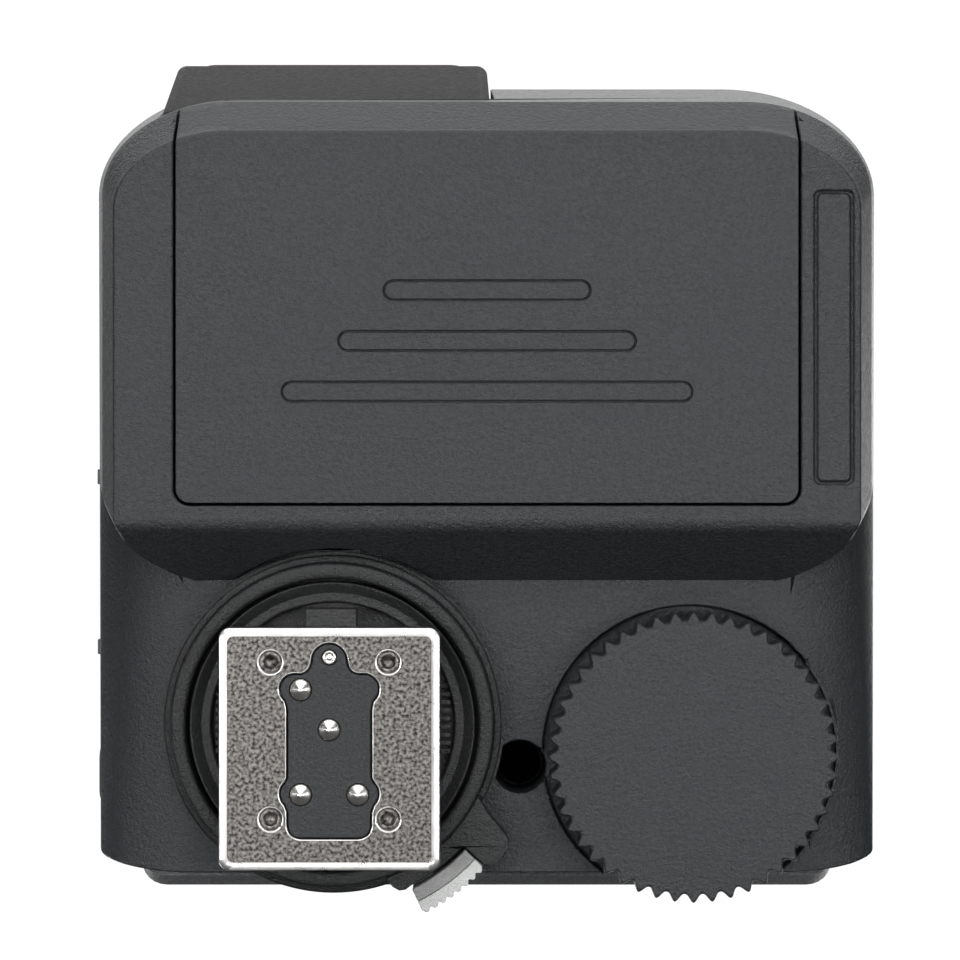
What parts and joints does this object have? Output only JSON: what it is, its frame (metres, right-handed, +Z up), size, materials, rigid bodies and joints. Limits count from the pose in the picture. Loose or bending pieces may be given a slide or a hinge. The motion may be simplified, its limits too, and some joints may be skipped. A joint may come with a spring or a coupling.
{
  "type": "wireless flash trigger",
  "caption": "Camera hot-shoe radio trigger with locking foot, thumb wheel, sloping display with keys, slide-off battery door and pass-through shoe.",
  "frame": {"origin": "centre of the hot-shoe foot's lower face", "axes": "+X to the user's right, +Y towards the subject, +Z up, out of the camera's shoe"},
  "size_m": [0.0717, 0.0748, 0.052],
  "materials": {
    "charcoal_plastic": "finely textured moulded charcoal plastic",
    "black_plastic": "satin black plastic",
    "gloss_black": "glossy black fascia",
    "light_grey_plastic": "pale grey moulded grip",
    "switch_plastic": "grey translucent knob",
    "nickel_plate": "blasted nickel plate with polished edges",
    "shoe_metal": "black coated steel",
    "contact_strip": "plated spring strip",
    "steel": "plain steel",
    "black_steel": "blackened steel",
    "bright_pin": "polished plated contact",
    "key_rubber": "matte grey rubber keys",
    "keypad_rubber": "silicone keypad",
    "cover_rubber": "soft black rubber",
    "circuit_board": "green solder mask",
    "lens_glass": "clear display lens",
    "display_module": "unlit grey green display",
    "lamp_window": "glossy pale window",
    "lamp": "red lamp body",
    "cell_wrap": "plain printed wrap on a metal can"
  },
  "bodies": {
    "housing": {"bottom_housing": "charcoal_plastic", "top_housing": "charcoal_plastic", "af_housing": "charcoal_plastic", "af_window": "lamp_window", "af_lamp": "lamp", "display_panel": "gloss_black", "lcd_lens": "lens_glass", "lcd_module": "display_module", "keypad_mat": "keypad_rubber", "main_board": "circuit_board", "battery_tray": "black_plastic", "battery_cell_1": "cell_wrap", "battery_cell_2": "cell_wrap", "battery_bridge": "contact_strip", "battery_terminal_1": "contact_strip", "battery_terminal_2": "contact_strip", "battery_spring_1": "steel", "battery_spring_2": "steel", "foot_plate": "nickel_plate", "foot_insulator": "black_plastic", "foot_screw_1": "steel", "foot_screw_2": "steel", "foot_screw_3": "steel", "foot_screw_4": "steel", "mount_collar": "black_plastic", "encoder_body": "black_plastic", "shoe_rails": "shoe_metal", "shoe_base": "black_plastic", "shoe_contact_1": "bright_pin", "shoe_contact_2": "bright_pin", "shoe_contact_3": "bright_pin", "shoe_contact_4": "bright_pin", "power_switch_body": "black_plastic", "af_switch_body": "black_plastic", "sync_jack": "black_plastic", "housing_screw": "black_steel"},
    "battery_door": {"battery_door": "charcoal_plastic"},
    "lock_ring": {"lock_ring": "black_plastic", "lever_grip_pad": "light_grey_plastic"},
    "lock_pin": {"lock_pin": "bright_pin"},
    "thumb_wheel": {"thumb_wheel": "charcoal_plastic", "wheel_shaft": "steel"},
    "port_cover": {"port_cover": "cover_rubber"},
    "power_switch_knob": {"power_switch_knob": "switch_plastic"},
    "af_switch_knob": {"af_switch_knob": "switch_plastic"},
    "contact_pin_1": {"contact_pin_1": "bright_pin"},
    "contact_pin_2": {"contact_pin_2": "bright_pin"},
    "contact_pin_3": {"contact_pin_3": "bright_pin"},
    "contact_pin_4": {"contact_pin_4": "bright_pin"},
    "group_button_1": {"group_button_1": "key_rubber"},
    "group_button_2": {"group_button_2": "key_rubber"},
    "group_button_3": {"group_button_3": "key_rubber"},
    "group_button_4": {"group_button_4": "key_rubber"},
    "group_button_5": {"group_button_5": "key_rubber"},
    "soft_key_1": {"soft_key_1": "key_rubber"},
    "soft_key_2": {"soft_key_2": "key_rubber"},
    "soft_key_3": {"soft_key_3": "key_rubber"},
    "soft_key_4": {"soft_key_4": "key_rubber"},
    "menu_key": {"menu_key": "key_rubber"},
    "test_button": {"test_button": "key_rubber"}
  },
  "joints": [
    {"name": "door_slide", "type": "slide", "parent": "housing", "child": "battery_door", "axis": [0, 1, 0], "range_m": [0, 0.036]},
    {"name": "lock_turn", "type": "hinge", "parent": "housing", "child": "lock_ring", "pos_m": [0, 0.00165, 0.0055], "axis": [0, 0, 1], "range_deg": [0, 50]},
    {"name": "lock_pin_slide", "type": "slide", "parent": "housing", "child": "lock_pin", "axis": [0, 0, -1], "range_m": [0, 0.00131]},
    {"name": "thumb_wheel_turn", "type": "hinge", "parent": "housing", "child": "thumb_wheel", "pos_m": [-0.0309, -0.0011, 0.006], "axis": [0, 0, 1], "continuous": true},
    {"name": "port_cover_hinge", "type": "hinge", "parent": "housing", "child": "port_cover", "pos_m": [0.0213, -0.0057, 0.0176], "axis": [0, 0, -1], "range_deg": [0, 95]},
    {"name": "power_switch_slide", "type": "slide", "parent": "housing", "child": "power_switch_knob", "axis": [0, 1, 0], "range_m": [0, 0.0016]},
    {"name": "af_switch_slide", "type": "slide", "parent": "housing", "child": "af_switch_knob", "axis": [0, 1, 0], "range_m": [0, 0.0016]},
    {"name": "contact_pin_1_press", "type": "slide", "parent": "housing", "child": "contact_pin_1", "axis": [0, 0, 1], "range_m": [0, 0.0006], "stiffness_N_per_m": 300, "springref_m": -0.003},
    {"name": "contact_pin_2_press", "type": "slide", "parent": "housing", "child": "contact_pin_2", "axis": [0, 0, 1], "range_m": [0, 0.0006], "stiffness_N_per_m": 300, "springref_m": -0.003},
    {"name": "contact_pin_3_press", "type": "slide", "parent": "housing", "child": "contact_pin_3", "axis": [0, 0, 1], "range_m": [0, 0.0006], "stiffness_N_per_m": 300, "springref_m": -0.003},
    {"name": "contact_pin_4_press", "type": "slide", "parent": "housing", "child": "contact_pin_4", "axis": [0, 0, 1], "range_m": [0, 0.0006], "stiffness_N_per_m": 300, "springref_m": -0.003},
    {"name": "group_button_1_press", "type": "slide", "parent": "housing", "child": "group_button_1", "axis": [0, 0.515, -0.8572], "range_m": [0, 0.0005], "stiffness_N_per_m": 400, "springref_m": -0.0015},
    {"name": "group_button_2_press", "type": "slide", "parent": "housing", "child": "group_button_2", "axis": [0, 0.515, -0.8572], "range_m": [0, 0.0005], "stiffness_N_per_m": 400, "springref_m": -0.0015},
    {"name": "group_button_3_press", "type": "slide", "parent": "housing", "child": "group_button_3", "axis": [0, 0.515, -0.8572], "range_m": [0, 0.0005], "stiffness_N_per_m": 400, "springref_m": -0.0015},
    {"name": "group_button_4_press", "type": "slide", "parent": "housing", "child": "group_button_4", "axis": [0, 0.515, -0.8572], "range_m": [0, 0.0005], "stiffness_N_per_m": 400, "springref_m": -0.0015},
    {"name": "group_button_5_press", "type": "slide", "parent": "housing", "child": "group_button_5", "axis": [0, 0.515, -0.8572], "range_m": [0, 0.0005], "stiffness_N_per_m": 400, "springref_m": -0.0015},
    {"name": "soft_key_1_press", "type": "slide", "parent": "housing", "child": "soft_key_1", "axis": [0, 0.515, -0.8572], "range_m": [0, 0.0005], "stiffness_N_per_m": 400, "springref_m": -0.0015},
    {"name": "soft_key_2_press", "type": "slide", "parent": "housing", "child": "soft_key_2", "axis": [0, 0.515, -0.8572], "range_m": [0, 0.0005], "stiffness_N_per_m": 400, "springref_m": -0.0015},
    {"name": "soft_key_3_press", "type": "slide", "parent": "housing", "child": "soft_key_3", "axis": [0, 0.515, -0.8572], "range_m": [0, 0.0005], "stiffness_N_per_m": 400, "springref_m": -0.0015},
    {"name": "soft_key_4_press", "type": "slide", "parent": "housing", "child": "soft_key_4", "axis": [0, 0.515, -0.8572], "range_m": [0, 0.0005], "stiffness_N_per_m": 400, "springref_m": -0.0015},
    {"name": "menu_key_press", "type": "slide", "parent": "housing", "child": "menu_key", "axis": [0, 0.515, -0.8572], "range_m": [0, 0.0005], "stiffness_N_per_m": 400, "springref_m": -0.0015},
    {"name": "test_button_press", "type": "slide", "parent": "housing", "child": "test_button", "axis": [0, 0.515, -0.8572], "range_m": [0, 0.0005], "stiffness_N_per_m": 400, "springref_m": -0.0015}
  ],
  "couplings": [
    {"joint": "lock_pin_slide", "follows": "lock_turn", "m_per_rad": 0.0014897}
  ]
}
